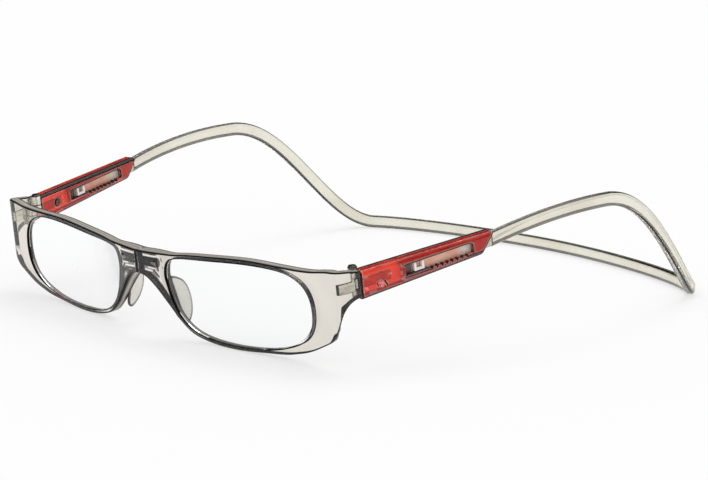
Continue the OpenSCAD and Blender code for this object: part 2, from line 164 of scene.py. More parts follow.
def tintWithPaintedShadeAndHighlight():
    # tint of moulded plastic: cloudy from place to place, with painted shade, a dark line where the
    # mask nears 1, and a painted highlight, a pale fringe where it is low
    group, start, end = newGroup(
        "tintWithPaintedShadeAndHighlight",
        [("Body", "NodeSocketColor", (0.8, 0.8, 0.8, 1)),
         ("Line Shade", "NodeSocketColor", (0.2, 0.2, 0.2, 1)),
         ("Cloud", "NodeSocketColor", (0.7, 0.7, 0.7, 1)),
         ("Cloud Scale", "NodeSocketFloat", 60.0),
         ("Line Shade Amount", "NodeSocketFloat", 1.0), ("Highlight And Pale Colour", "NodeSocketColor", (1, 1, 1, 1)),
         ("Highlight And Pale Colour Amount", "NodeSocketFloat", 0.0)],
        [("Color", "NodeSocketColor")])
    n, links = group.nodes, group.links
    place = n.new("ShaderNodeTexCoord")
    noise = n.new("ShaderNodeTexNoise")
    noise.inputs["Detail"].default_value = 3
    clouds = n.new("ShaderNodeMapRange")
    clouds.inputs["From Min"].default_value = 0.42
    clouds.inputs["From Max"].default_value = 0.66
    mask = n.new("ShaderNodeAttribute")
    mask.attribute_name = "paintedLightMask"
    core, fringe = n.new("ShaderNodeMapRange"), n.new("ShaderNodeMapRange")
    core.inputs["From Min"].default_value = 0.3
    core.inputs["From Max"].default_value = 0.8
    fringe.inputs["From Max"].default_value = 0.2
    amount, glint = n.new("ShaderNodeMath"), n.new("ShaderNodeMath")
    for node in (amount, glint):
        node.operation = "MULTIPLY"
    cloudy, highlighted, edgeShaded = (n.new("ShaderNodeMix") for step in range(3))
    for node in (cloudy, highlighted, edgeShaded):
        node.data_type = "RGBA"
    links.new(place.outputs["Object"], noise.inputs["Vector"])
    links.new(start.outputs["Cloud Scale"], noise.inputs["Scale"])
    links.new(noise.outputs["Fac"], clouds.inputs["Value"])
    links.new(clouds.outputs["Result"], cloudy.inputs["Factor"])
    links.new(start.outputs["Body"], cloudy.inputs["A"])
    links.new(start.outputs["Cloud"], cloudy.inputs["B"])
    links.new(mask.outputs["Fac"], core.inputs["Value"])
    links.new(mask.outputs["Fac"], fringe.inputs["Value"])
    # painted highlight: the pale colour is mixed in where the mask is low
    links.new(fringe.outputs["Result"], glint.inputs[0])
    links.new(start.outputs["Highlight And Pale Colour Amount"], glint.inputs[1])
    links.new(glint.outputs["Value"], highlighted.inputs["Factor"])
    links.new(cloudy.outputs["Result"], highlighted.inputs["A"])
    links.new(start.outputs["Highlight And Pale Colour"], highlighted.inputs["B"])
    # painted shade: the dark line colour is mixed in where the mask nears 1
    links.new(core.outputs["Result"], amount.inputs[0])
    links.new(start.outputs["Line Shade Amount"], amount.inputs[1])
    links.new(amount.outputs["Value"], edgeShaded.inputs["Factor"])
    links.new(highlighted.outputs["Result"], edgeShaded.inputs["A"])
    links.new(start.outputs["Line Shade"], edgeShaded.inputs["B"])
    links.new(edgeShaded.outputs["Result"], end.inputs["Color"])
    return group


def handledGloss():
    # faint smears in the gloss and shallow ripples from handling and moulding
    group, start, end = newGroup(
        "handledGloss",
        [("Roughness", "NodeSocketFloat", 0.1), ("Smear", "NodeSocketFloat", 0.1),
         ("Scale", "NodeSocketFloat", 120.0), ("Ripple", "NodeSocketFloat", 0.2),
         ("Stretch", "NodeSocketVector", (1.0, 1.0, 1.0))],
        [("Roughness", "NodeSocketFloat"), ("Normal", "NodeSocketVector")])
    n, links = group.nodes, group.links
    place = n.new("ShaderNodeTexCoord")
    stretch = n.new("ShaderNodeVectorMath")
    stretch.operation = "MULTIPLY"
    smear = n.new("ShaderNodeTexNoise")
    smear.inputs["Detail"].default_value = 4
    smearRange = n.new("ShaderNodeMapRange")
    smearRange.inputs["From Min"].default_value = 0.45
    smearRange.inputs["From Max"].default_value = 0.75
    size = n.new("ShaderNodeMath")
    size.operation = "MULTIPLY"
    total = n.new("ShaderNodeMath")
    total.operation = "ADD"
    ripple = n.new("ShaderNodeTexNoise")
    ripple.inputs["Detail"].default_value = 2
    bump = n.new("ShaderNodeBump")
    bump.inputs["Distance"].default_value = 0.0001
    links.new(place.outputs["Object"], stretch.inputs[0])
    links.new(start.outputs["Stretch"], stretch.inputs[1])
    links.new(stretch.outputs["Vector"], smear.inputs["Vector"])
    links.new(stretch.outputs["Vector"], ripple.inputs["Vector"])
    links.new(start.outputs["Scale"], smear.inputs["Scale"])
    links.new(start.outputs["Scale"], ripple.inputs["Scale"])
    links.new(smear.outputs["Fac"], smearRange.inputs["Value"])
    links.new(smearRange.outputs["Result"], size.inputs[0])
    links.new(start.outputs["Smear"], size.inputs[1])
    links.new(size.outputs["Value"], total.inputs[0])
    links.new(start.outputs["Roughness"], total.inputs[1])
    links.new(total.outputs["Value"], end.inputs["Roughness"])
    links.new(ripple.outputs["Fac"], bump.inputs["Height"])
    links.new(start.outputs["Ripple"], bump.inputs["Strength"])
    links.new(bump.outputs["Normal"], end.inputs["Normal"])
    return group


paintedLightTintGroup = tintWithPaintedShadeAndHighlight()
glossGroup = handledGloss()
print("shader groups built")


def finish(name, tint, gloss, shader):
    mat = bpy.data.materials.new(name)
    mat.use_nodes = True
    n, links = mat.node_tree.nodes, mat.node_tree.links
    base = n["Principled BSDF"]
    colour = n.new("ShaderNodeGroup")
    colour.node_tree = paintedLightTintGroup
    for label, value in tint.items():
        colour.inputs[label].default_value = value
    surface = n.new("ShaderNodeGroup")
    surface.node_tree = glossGroup
    for label, value in gloss.items():
        surface.inputs[label].default_value = value
    for label, value in shader.items():
        base.inputs[label].default_value = value
    links.new(colour.outputs["Color"], base.inputs["Base Color"])
    links.new(surface.outputs["Roughness"], base.inputs["Roughness"])
    links.new(surface.outputs["Normal"], base.inputs["Normal"])
    return mat


def darkFromInside(mat, shade):
    # painted shade: a side wall seen from inside, through the plastic, is coloured black and shows
    # as a black line
    n, links = mat.node_tree.nodes, mat.node_tree.links
    socket = n["Principled BSDF"].inputs["Base Color"]
    outside = socket.links[0].from_socket
    facing, mix = n.new("ShaderNodeNewGeometry"), n.new("ShaderNodeMix")
    mix.data_type = "RGBA"
    mix.inputs["B"].default_value = shade
    links.new(facing.outputs["Backfacing"], mix.inputs["Factor"])
    links.new(outside, mix.inputs["A"])
    links.new(mix.outputs["Result"], socket)


# in these finishes the edge colour is painted shade, drawn as dark lines along edges, and the glint
# colour is a painted highlight; body and cloud are the plastic's and metal's own colour
clearGrey = finish(
    "clearGreyPlastic",
    {"Body": (0.81, 0.765, 0.69, 1), "Cloud": (0.73, 0.69, 0.63, 1),
     "Line Shade": (0.002, 0.0018, 0.0018, 1), "Cloud Scale": 70.0, "Line Shade Amount": 1.0,
     "Highlight And Pale Colour": (1.0, 0.99, 0.96, 1), "Highlight And Pale Colour Amount": 0.75},
    {"Roughness": 0.03, "Smear": 0.06, "Scale": 160.0, "Ripple": 0.12},
    {"Metallic": 0.0, "Transmission Weight": 1.0, "IOR": 1.5, "Specular IOR Level": 0.35})
bandClear = finish(
    "bandClearPlastic",
    {"Body": (0.93, 0.905, 0.79, 1), "Cloud": (0.84, 0.80, 0.68, 1),
     "Line Shade": (0.001, 0.001, 0.001, 1), "Cloud Scale": 60.0, "Line Shade Amount": 1.0},
    {"Roughness": 0.06, "Smear": 0.08, "Scale": 120.0, "Ripple": 0.1},
    {"Metallic": 0.0, "Transmission Weight": 0.85, "IOR": 1.5, "Specular IOR Level": 0.2})
# the side walls are painted dark as shade and opaque, with a pale painted highlight colour for
# their middles
sideWallPaintedDark = finish(
    "sideWallPaintedShade",
    {"Body": (0.16, 0.147, 0.125, 1), "Cloud": (0.07, 0.064, 0.056, 1),
     "Line Shade": (0.003, 0.0025, 0.0025, 1), "Cloud Scale": 38.0, "Line Shade Amount": 1.0,
     "Highlight And Pale Colour": (0.62, 0.585, 0.52, 1), "Highlight And Pale Colour Amount": 0.8},
    {"Roughness": 0.16, "Smear": 0.1, "Scale": 160.0, "Ripple": 0.12},
    {"Metallic": 0.0, "Transmission Weight": 0.0, "IOR": 1.5, "Specular IOR Level": 0.1})
darkFromInside(sideWallPaintedDark, (0.004, 0.0035, 0.003, 1))
# painted light: the tongue inside the sleeve is coloured with the red light of its walls, and its
# glint colour is the band's own colour
tonguePaintedRedLight = finish(
    "tongueRedLightPainted",
    {"Body": (0.96, 0.42, 0.31, 1), "Cloud": (1.0, 0.62, 0.45, 1), "Line Shade": (0.10, 0.006, 0.008, 1),
     "Cloud Scale": 160.0, "Line Shade Amount": 0.9,
     "Highlight And Pale Colour": (0.93, 0.905, 0.79, 1), "Highlight And Pale Colour Amount": 1.0},
    {"Roughness": 0.1, "Smear": 0.1, "Scale": 200.0, "Ripple": 0.15},
    {"Metallic": 0.0, "Transmission Weight": 0.35, "IOR": 1.5, "Specular IOR Level": 0.3})
# the sleeve's pink glint colour is a painted highlight
sleeveRed = finish(
    "sleeveRedPlastic",
    {"Body": (0.98, 0.085, 0.045, 1), "Cloud": (0.86, 0.035, 0.03, 1), "Line Shade": (0.002, 0.0, 0.0, 1),
     "Cloud Scale": 150.0, "Line Shade Amount": 1.0, "Highlight And Pale Colour": (1.0, 0.56, 0.52, 1), "Highlight And Pale Colour Amount": 0.7},
    {"Roughness": 0.06, "Smear": 0.1, "Scale": 260.0, "Ripple": 0.25},
    {"Metallic": 0.0, "Transmission Weight": 0.66, "IOR": 1.5, "Specular IOR Level": 0.2})
lensGlass = finish(
    "lensPolished",
    {"Body": (0.99, 0.995, 1.0, 1), "Cloud": (0.985, 0.99, 0.995, 1), "Line Shade": (0.5, 0.5, 0.5, 1),
     "Cloud Scale": 20.0, "Line Shade Amount": 0.0},
    {"Roughness": 0.0, "Smear": 0.015, "Scale": 90.0, "Ripple": 0.0},
    {"Metallic": 0.0, "Transmission Weight": 1.0, "IOR": 1.45})
padClear = finish(
    "padPaleClear",
    {"Body": (0.93, 0.91, 0.84, 1), "Cloud": (0.86, 0.84, 0.77, 1),
     "Line Shade": (0.006, 0.006, 0.005, 1), "Cloud Scale": 90.0, "Line Shade Amount": 0.9},
    {"Roughness": 0.18, "Smear": 0.12, "Scale": 300.0, "Ripple": 0.1},
    {"Metallic": 0.0, "Transmission Weight": 0.75, "IOR": 1.45, "Specular IOR Level": 0.3})
hingeSteel = finish(
    "hingeBrightSteel",
    {"Body": (0.9, 0.88, 0.81, 1), "Cloud": (0.72, 0.7, 0.63, 1), "Line Shade": (0.015, 0.014, 0.013, 1),
     "Cloud Scale": 400.0, "Line Shade Amount": 0.95},
    {"Roughness": 0.22, "Smear": 0.2, "Scale": 900.0, "Ripple": 0.35, "Stretch": (1.0, 0.2, 1.0)},
    {"Metallic": 1.0})
magnetGrey = finish(
    "magnetPlated",
    {"Body": (0.30, 0.28, 0.26, 1), "Cloud": (0.20, 0.19, 0.18, 1), "Line Shade": (0.1, 0.1, 0.1, 1),
     "Cloud Scale": 500.0, "Line Shade Amount": 0.0},
    {"Roughness": 0.3, "Smear": 0.2, "Scale": 700.0, "Ripple": 0.2},
    {"Metallic": 1.0})
screwDark = finish(
    "screwDarkSteel",
    {"Body": (0.42, 0.4, 0.36, 1), "Cloud": (0.2, 0.19, 0.17, 1), "Line Shade": (0.01, 0.01, 0.01, 1),
     "Cloud Scale": 800.0, "Line Shade Amount": 1.0},
    {"Roughness": 0.25, "Smear": 0.2, "Scale": 900.0, "Ripple": 0.3},
    {"Metallic": 1.0})
# painted shade and red light: the rivet's steel is coloured dark red for the red sleeve around it
rivetPaintedRedShade = finish(
    "rivetPaintedRedShadeSteel",
    {"Body": (0.26, 0.10, 0.085, 1), "Cloud": (0.18, 0.06, 0.05, 1), "Line Shade": (0.02, 0.01, 0.01, 1),
     "Cloud Scale": 700.0, "Line Shade Amount": 0.8},
    {"Roughness": 0.35, "Smear": 0.2, "Scale": 900.0, "Ripple": 0.3},
    {"Metallic": 1.0})
clipPale = finish(
    "clipPalePlastic",
    {"Body": (0.93, 0.86, 0.83, 1), "Cloud": (0.88, 0.76, 0.73, 1), "Line Shade": (0.3, 0.05, 0.04, 1),
     "Cloud Scale": 300.0, "Line Shade Amount": 0.0},
    {"Roughness": 0.25, "Smear": 0.1, "Scale": 500.0, "Ripple": 0.15},
    {"Metallic": 0.0})
print("materials built")

cadFinish = {
    "lens": lensGlass, "bridge_magnet": magnetGrey, "hinge_front_leaf": hingeSteel,
    "hinge_sleeve_leaf": hingeSteel, "hinge_screw": hingeSteel, "leaf_rivet": hingeSteel,
    "sleeve": sleeveRed, "catch_clip": clipPale, "band_end": bandClear, "band_half": bandClear,
    "front_half": clearGrey, "nose_pad": padClear,
}
for name, obj in nodes.items():
    mat = cadFinish[name.rsplit("_", 1)[0]]
    if not obj.material_slots:
        obj.data.materials.append(mat)
    for s in obj.material_slots:
        s.material = mat


rimShape = {
    "opening": [
        (0, 0.74), (0.022, 0.88), (0.09, 0.935), (0.3, 0.97), (0.57, 1), (0.79, 0.98),
        (0.912, 0.9), (0.978, 0.76), (1, 0.565), (0.986, 0.355), (0.928, 0.192), (0.81, 0.085),
        (0.66, 0.02), (0.475, 0), (0.3, 0.025), (0.17, 0.1), (0.085, 0.24), (0.035, 0.42),
        (0.01, 0.6)],
    "top": [
        (0, 23.4), (7, 23.4), (13, 23.45), (18, 23.95), (25.3, 24.4), (39, 25.05), (50, 24.75),
        (57, 24.58), (61.5, 24.7), (65, 25.1), (68, 25.35), (72.2, 25.05), (77.35, 24.1)],
    "foot": [
        (77.35, 17.2), (75.9, 17.05), (74.5, 16.6), (73.3, 15.95), (72.3, 15.1), (71.5, 14.1),
        (70.9, 12.95), (70.35, 11.6), (69.8, 10.1), (69.1, 8.7), (68.1, 7.3), (66.6, 6.05),
        (64, 4.75), (61.2, 3.45), (58.4, 2.4), (55.2, 1.6), (50.6, 0.75),
        (43.7, 0.25), (34.2, -0.26), (25.3, 0.31), (18.05, 2.17), (13.3, 5.75), (11.7, 7.5),
        (9, 10.6), (6.5, 13.45), (4.07, 15.6), (2.1, 16.65), (0, 17.1)],
    # where the flat front is cut so that it can bend
    "cuts": [1, 2, 3, 4, 5, 6, 7, 8, 9, 10, 12,
             67, 68, 68.6, 69.2, 69.8, 70.4, 71, 71.6, 72.2, 72.8, 74],
}

# edges and tones of a half front, in metres. A tone is painted shade, 0 where the plastic is clear
# and 1 on a black line, and a tone near 0.25 is a painted highlight; a wall has three: near the
# face, in the middle and near the back. A pair is where a share starts and how far it reaches.
rimLook = {
    "edge": 0.00024, "line": 0.00026, "probe": 0.001,
    "wallShadeTones": (0.95, 0.4, 0.95), "topShadeTones": (0.8, 0.02, 0.75), "paleHighlightTone": 0.25,
    "archOut": (0.0135, -0.003), "archTop": 0.0175, "archWide": 2.2,
    "footOut": (0.062, 0.004), "footUp": (0.009, 0.003), "footTop": 0.0178,
    "paleFrom": (0.042, 0.008), "paleTo": (0.06, 0.004), "paleFoot": 0.018,
    "cutAt": 0.068, "cutReach": 0.0034, "cutBack": 0.0013, "cutFade": 0.85, "cutClear": 0.2,
    # the bridge's face is painted darker as shade
    "faceDepth": 0.0001, "bridgeOut": 0.0098, "bridgeFoot": 0.0155, "bridgeShadeTone": 0.76,
    "bridgeShare": (0.009, -0.002),
    "cell": 0.00024, "cellsLow": (0.0, -0.001, 0.0158), "cellsHigh": (0.0098, 0.0001, 0.0238),
    # painted light and dark streaks, standing for what the magnet, its pocket and the moulding's
    # steps show in the clear bridge: two ends, half width and tone, in millimetres from the meeting
    # line
    "streaks": [
        (0.0, 17.0, 0.0, 23.2, 0.42, 1.0), (0.4, 22.0, 7.8, 21.8, 0.26, 1.0),
        (0.9, 22.55, 8.4, 22.35, 0.3, 0.22), (1.0, 18.7, 5.6, 18.3, 0.3, 0.22),
        (0.5, 18.25, 5.3, 17.8, 0.26, 1.0), (7.55, 22.0, 7.8, 18.6, 0.34, 1.0),
        (8.4, 21.9, 8.7, 20.4, 0.42, 0.22), (9.0, 22.1, 9.5, 19.4, 0.24, 1.0),
        (1.3, 21.3, 3.0, 21.2, 0.2, 0.22), (4.4, 19.2, 6.9, 18.95, 0.22, 0.22),
        (0.75, 20.9, 0.9, 18.9, 0.2, 0.22), (5.4, 22.9, 7.2, 22.85, 0.18, 1.0),
        (6.4, 18.6, 7.9, 16.9, 0.3, 1.0), (7.0, 18.5, 8.5, 16.9, 0.24, 0.22),
        (2.2, 19.9, 2.9, 19.6, 0.22, 1.0), (3.6, 20.9, 4.3, 20.7, 0.24, 0.22),
        (5.2, 20.3, 5.9, 20.0, 0.24, 1.0)],
}


def streaked(tone, x, z, marks):
    # x and z in metres, the marks in millimetres
    for ax, az, bx, bz, half, want in marks:
        px, pz = x * 1000 - ax, z * 1000 - az
        dx, dz = bx - ax, bz - az
        along = min(1, max(0, (px * dx + pz * dz) / (dx * dx + dz * dz)))
        away = math.hypot(px - along * dx, pz - along * dz)
        tone += (want - tone) * eased01(1.6 * (1 - away / half))
    return tone


def finer(bm, cell, low, high):
    # splits the edges inside a box until none is longer than the cell, in seven rounds at most
    for step in range(7):
        long = [e for e in bm.edges if e.calc_length() > cell
                and all(low[k] <= v.co[k] <= high[k] for v in e.verts for k in range(3))]
        if not long:
            break
        bmesh.ops.subdivide_edges(bm, edges=long, cuts=1)
        bmesh.ops.triangulate(bm, faces=[f for f in bm.faces if len(f.verts) > 4])


def wallProfile():
    # inset, depth, tone and tone where the wall looks up, from the front face over the rounded edge
    # and the wall to the back face; the tones are painted shade, 1 for a black line
    t, e, line = front["rimT"], rimLook["edge"], rimLook["line"]
    walls = list(zip((e, t / 2, t - e), rimLook["wallShadeTones"], rimLook["topShadeTones"]))
    return ([(e + line, 0.0, 0.0, 0.0), (e + 0.2 * line, 0.0, 1.0, 1.0), (e, 0.0, 1.0, 1.0),
             (0.3 * e, 0.3 * e, 1.0, 1.0)]
            + [(0.0, depth, tone, above) for depth, tone, above in walls]
            + [(0.3 * e, t - 0.3 * e, 1.0, 1.0), (e, t, 1.0, 1.0), (e + line, t, 0.0, 0.0)])


def wallShares(outline, outside):
    # how far each point of an outline belongs to the arch over the nose, to the endpiece's
    # foot, to the lower outer corner and to the top beside the endpiece; the opening has none
    look = rimLook
    arch, foot, corner, pale = [], [], [], []
    for x, z in outline:
        arch.append(ramp(x, *look["archOut"]) if outside and z < look["archTop"] else 0)
        low = outside and z < look["footTop"]
        foot.append(ramp(x, *look["footOut"]) * ramp(z, *look["footUp"]) if low else 0)
        corner.append(eased01(1 - abs(x - look["cutAt"]) / look["cutReach"]) if low else 0)
        pale.append(ramp(x, *look["paleFrom"]) * (1 - ramp(x, *look["paleTo"]))
                    if outside and z > look["paleFoot"] else 0)
    return arch, foot, corner, pale


def wallRings(bm, mask, outline, grow):
    # the arch has a broad painted dark edge and walls with a painted highlight, the endpiece's foot
    # has walls painted dark as shade, the back is chamfered off at the lower outer corner, and the
    # top is painted paler by the endpiece as a highlight
    look, t = rimLook, front["rimT"]
    profile = wallProfile()
    arch, foot, corner, pale = wallShares(outline, grow < 0)
    wide = moved(outline, grow * look["probe"])
    rings = []
    for inset, depth, dark, above in profile:
        broad = look["archWide"] * look["line"] if inset > look["edge"] else 0
        cut = look["cutBack"] if depth > t / 2 else 0
        by = [grow * (inset + broad * a + cut * c) for a, c in zip(arch, corner)]
        ring = []
        for i, (x, z) in enumerate(moved(outline, by)):
            vert = bm.verts.new((x, depth, z))
            # 1 on a wall that looks up, where the painted shade is lighter in the middle
            rising = min(1, max(0, (outline[i][1] - wide[i][1]) / look["probe"]))
            shade = dark + (above - dark) * rising
            # painted shade on the walls: the arch and the top by the endpiece get a painted
            # highlight in the middle, the foot is painted dark, and the shade fades at the
            # chamfered corner
            if 0 < dark < 1:
                inner = arch[i] + pale[i] if depth == t / 2 else 0
                shade += inner * (look["paleHighlightTone"] - shade) + foot[i] * (1 - shade)
                shade *= 1 - corner[i]
            elif depth > t / 2:
                shade *= 1 - look["cutFade"] * corner[i]
            vert[mask] = shade
            ring.append(vert)
        rings.append(ring)
    for k, (a, b) in enumerate(zip(rings, rings[1:])):
        for i in range(len(a)):
            j = (i + 1) % len(a)
            face = bm.faces.new((a[i], a[j], b[j], b[i]))
            wall = 1 < k < len(profile) - 2 and corner[i] < look["cutClear"]
            face.material_index = 1 if wall else 0
    return rings[0], rings[-1]


def frontHalf(side, sign):
    # the outlines are laid out flat, and the moulding is bent to its place at the end
    mm, look = 0.001, rimLook
    outer = [(a * mm, b * mm) for a, b in
             throughPoints(rimShape["top"], 5, closed=False)
             + throughPoints(rimShape["foot"], 4, closed=False)]
    opening = throughPoints(
        [(front["noseHalf"] + a * front["lensW"], front["lensFoot"] + b * front["lensH"])
         for a, b in rimShape["opening"]], 6)
    bm = bmesh.new()
    mask = bm.verts.layers.float.new("mask")
    ends = [wallRings(bm, mask, outline, grow) for outline, grow in ((outer, -1), (opening, 1))]
    for pair in zip(*ends):
        edges = []
        for ring in pair:
            edges += [bm.edges.get((ring[i], ring[(i + 1) % len(ring)])) for i in range(len(ring))]
        bmesh.ops.triangle_fill(bm, edges=edges, use_beauty=True)
    for cut in rimShape["cuts"]:
        bmesh.ops.bisect_plane(bm, geom=bm.verts[:] + bm.edges[:] + bm.faces[:], dist=1e-7,
                               plane_co=(cut * mm, 0, 0), plane_no=(1, 0, 0))
    # finer cells on the bridge's face, where the painted streaks of light and shade are
    finer(bm, look["cell"], look["cellsLow"], look["cellsHigh"])
    deeper = (front["bridgeBack"] + front["bridgeProud"]) / front["rimT"] - 1
    for vert in bm.verts:
        s, v, z = vert.co
        # painted shade over the bridge's face, with painted light and dark streaks
        if v < look["faceDepth"] and s < look["bridgeOut"] and z > look["bridgeFoot"]:
            shade = ramp(s, *look["bridgeShare"]) * look["bridgeShadeTone"]
            vert[mask] = streaked(max(vert[mask], shade), s, z, look["streaks"])
        k = ramp(s, *front["bridgeFade"])  # the bridge is deeper than the rim
        v = v * (1 + k * deeper) - k * front["bridgeProud"]
        vert.co = panelPoint(s, v, z)
    values = [vert[mask] for vert in bm.verts]
    mirrored(bm, sign)
    obj = addPiece("frontMoulding_" + side, bm, clearGrey, values, 60)
    obj.data.materials.append(sideWallPaintedDark)
    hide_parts("front_half_" + side)
    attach(obj, "front_" + side)


for side, sign in sides:
    frontHalf(side, sign)
print("front mouldings built")


# the leaf's outline in millimetres down and back from its root, and its share of the outline
# against its share of the thickness, from the rim to the middle of a face
pad = {
    "wide": 1.12, "thick": 0.0015, "slant": 17, "spread": 9, "root": (0.0093, 0.0028, 0.0165),
    "leaf": [(0.2, 0.3), (1.0, 2.4), (2.8, 4.1), (5.6, 4.75), (8.6, 4.5), (11.2, 3.6), (13.0, 2.2),
             (13.4, 1.1), (12.4, 0.35), (10, 0.25), (6.5, 0.2), (3, 0.2)],
    "crown": [(1.0, 0.0), (0.985, 0.45), (0.93, 0.72), (0.86, 0.84), (0.78, 0.92), (0.5, 1.0)],
    "darkPast": 0.92, "flush": 0.00002,
}


def nosePad(side, sign):
    mm = 0.001
    outline = [(a * mm, b * pad["wide"] * mm) for a, b in throughPoints(pad["leaf"], 4)]
    middle = (sum(p[0] for p in outline) / len(outline), sum(p[1] for p in outline) / len(outline))
    spread, slant = math.radians(pad["spread"]), math.radians(90 - pad["slant"])
    half = pad["thick"] / 2

    def place(a, b, c):
        # spread turns the leaf about its length, and slant tips it
        y = b * math.cos(spread) - c * math.sin(spread)
        z = b * math.sin(spread) + c * math.cos(spread)
        x, z = a * math.cos(slant) + z * math.sin(slant), -a * math.sin(slant) + z * math.cos(slant)
        return panelPoint(
            pad["root"][0] + x, pad["root"][1] + max(y, pad["flush"]), pad["root"][2] + z)

    bm = bmesh.new()
    rings, dark = [], []
    for face in (-1, 1):
        for share, height in (pad["crown"] if face > 0 else pad["crown"][:0:-1]):
            ring = []
            for a, b in outline:
                ring.append(bm.verts.new(place(
                    middle[0] + (a - middle[0]) * share, middle[1] + (b - middle[1]) * share,
                    face * height * half)))
                # painted shade: the rings near the leaf's rim are dark
                dark.append(1.0 if share > pad["darkPast"] else 0.0)
            rings.append(ring)
    for a, b in zip(rings, rings[1:]):
        for i in range(len(a)):
            j = (i + 1) % len(a)
            bm.faces.new((a[i], a[j], b[j], b[i]))
    bm.faces.new(rings[0])
    bm.faces.new(rings[-1])
    mirrored(bm, sign)
    obj = addPiece("nosePadLeaf_" + side, bm, padClear, dark, 80)
    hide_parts("nose_pad_" + side)
    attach(obj, "front_" + side)


for side, sign in sides:
    nosePad(side, sign)
print("nose pads built")


# centre line and section of the neck band, in metres and degrees, as the solids have them
band = {
    "hingeAt": (0.0710606, 0.0167695), "rise": 3.0, "sleeveZ": 0.0202,
    "mouth": (-0.0023, 0.0423), "thick": 0.0027, "heightNeck": 0.0039, "heightNape": 0.0036,
    "taper": (0.3, 0.5), "corner": (0.069, 0.143), "turn": 31.8, "reach": 0.1605,
    "handles": (0.0251, 0.0219, 0.0107, 0.0267), "planSteps": 400,
    "crest": 0.035, "crestShare": 0.259, "dropShare": 0.574, "skew": 0.21,
    "round": 0.0011, "rings": 150, "cornerSteps": 10, "wayStep": 0.004,
    # steepness of the corner, in degrees, at which its painted dark line of shade is strongest, and
    # its reach
    "lineAt": 61, "lineWide": 38,
}


def sleevePoint(x, y, z):
    # from the sleeve's own frame at its hinge, y along it, to the glasses as they stand
    rise, splay = math.radians(band["rise"]), math.radians(front["splay"])
    p = Vector((x, y * math.cos(rise) - z * math.sin(rise),
                y * math.sin(rise) + z * math.cos(rise) + band["sleeveZ"]))
    q = Vector((p.x * math.cos(splay) + p.y * math.sin(splay) + band["hingeAt"][0],
                p.y * math.cos(splay) - p.x * math.sin(splay) + band["hingeAt"][1], p.z))
    lean = math.radians(front["lean"])
    return Vector((q.x, q.y * math.cos(lean) - q.z * math.sin(lean) + front["frontY"],
                   q.y * math.sin(lean) + q.z * math.cos(lean) - front["footDrop"]))


def bandLine():
    # points, directions and shares of the way, from the left sleeve to the middle of the nape
    start = sleevePoint(band["mouth"][0], band["mouth"][1], 0)
    ahead = sleevePoint(band["mouth"][0], band["mouth"][1] + 0.001, 0) - start
    flat = Vector((ahead.x, ahead.y)).normalized()
    turn = math.radians(band["turn"])
    cornerWay = Vector((-math.sin(turn), math.cos(turn)))
    corner, first = Vector(band["corner"]), Vector((start.x, start.y))
    h = band["handles"]
    runs = [
        (first, first + h[0] * flat, corner - h[1] * cornerWay, corner),
        (corner, corner + h[2] * cornerWay,
         Vector((h[3], band["reach"])), Vector((0, band["reach"])))]
    steps = band["planSteps"]
    plan = [Vector(bezier(*runs[0], i / steps)) for i in range(steps)]
    plan += [Vector(bezier(*runs[1], i / steps)) for i in range(steps + 1)]
    lengths = [0.0]
    for p, q in zip(plan, plan[1:]):
        lengths.append(lengths[-1] + (q - p).length)

    def height(t):
        low = min(1, max(0, (t - band["taper"][0]) / band["taper"][1]))
        return band["heightNeck"] + (band["heightNape"] - band["heightNeck"]) * low

    def level(t):
        w = min(1, max(0, (t - band["crestShare"]) / (band["dropShare"] - band["crestShare"])))
        w -= band["skew"] * w * (1 - w)
        climb = (1 - min(1, t / band["crestShare"])) ** 2
        return (band["crest"] - (band["crest"] - height(t) / 2) * w * w * (3 - 2 * w)
                - (band["crest"] - start.z) * climb)

    def at(t):
        t = min(1, max(0, t))
        want = t * lengths[-1]
        low, high = 0, len(lengths) - 1
        while high - low > 1:
            k = (low + high) // 2
            if lengths[k] <= want:
                low = k
            else:
                high = k
        share = (want - lengths[low]) / (lengths[high] - lengths[low])
        p = plan[low].lerp(plan[high], share)
        return Vector((p.x, p.y - front["middleY"], level(t)))

    line = []
    for i in range(band["rings"] + 1):
        t = i / band["rings"]
        if i == 0:
            way = ahead.normalized()
        elif i == band["rings"]:
            way = Vector((-1, 0, 0))
        else:
            way = (at(t + band["wayStep"]) - at(t - band["wayStep"])).normalized()
        line.append((at(t), way, height(t)))
    return line


def neckBand():
    # one skin for both halves, which bends at the nape
    bm = bmesh.new()
    dark, rings = [], []
    steps, r = band["cornerSteps"], band["round"]
    half = []
    for at, way, height in bandLine():
        out = Vector((way.y, -way.x, 0)).normalized()
        up = out.cross(way)
        ring = []
        for cx, cz, a0 in ((1, 1, 0), (-1, 1, 90), (-1, -1, 180), (1, -1, 270)):
            for j in range(steps + 1):
                a = math.radians(a0 + 90 * j / steps)
                x = cx * (band["thick"] / 2 - r) + r * math.cos(a)
                z = cz * (height / 2 - r) + r * math.sin(a)
                # painted shade: the dark line is strongest where the corner is as steep as lineAt
                steep = math.degrees(math.asin(min(1, abs(math.sin(a)))))
                tone = eased01(1 - abs(steep - band["lineAt"]) / band["lineWide"])
                ring.append((at + x * out + z * up, tone))
        half.append(ring)
    whole = half + [[(Vector((-p.x, p.y, p.z)), m) for p, m in ring] for ring in half[-2::-1]]
    for ring in whole:
        rings.append([bm.verts.new(p) for p, m in ring])
        dark += [m for p, m in ring]
    for a, b in zip(rings, rings[1:]):
        for i in range(len(a)):
            j = (i + 1) % len(a)
            bm.faces.new((a[i], a[j], b[j], b[i]))
    bm.faces.new(rings[0])
    bm.faces.new(rings[-1])
    mirrored(bm, 1)
    obj = addPiece("neckBand", bm, bandClear, dark, 70)
    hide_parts("band_half_left", "band_half_right")
    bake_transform(obj)


neckBand()
print("neck band built")


# what all the eased solids share, in metres and degrees
easing = {"weld": 2e-6, "flat": 0.8, "fold": 32, "spacing": 0.4, "rounds": 7,
          "topNormal": 0.9, "topLong": 0.005}
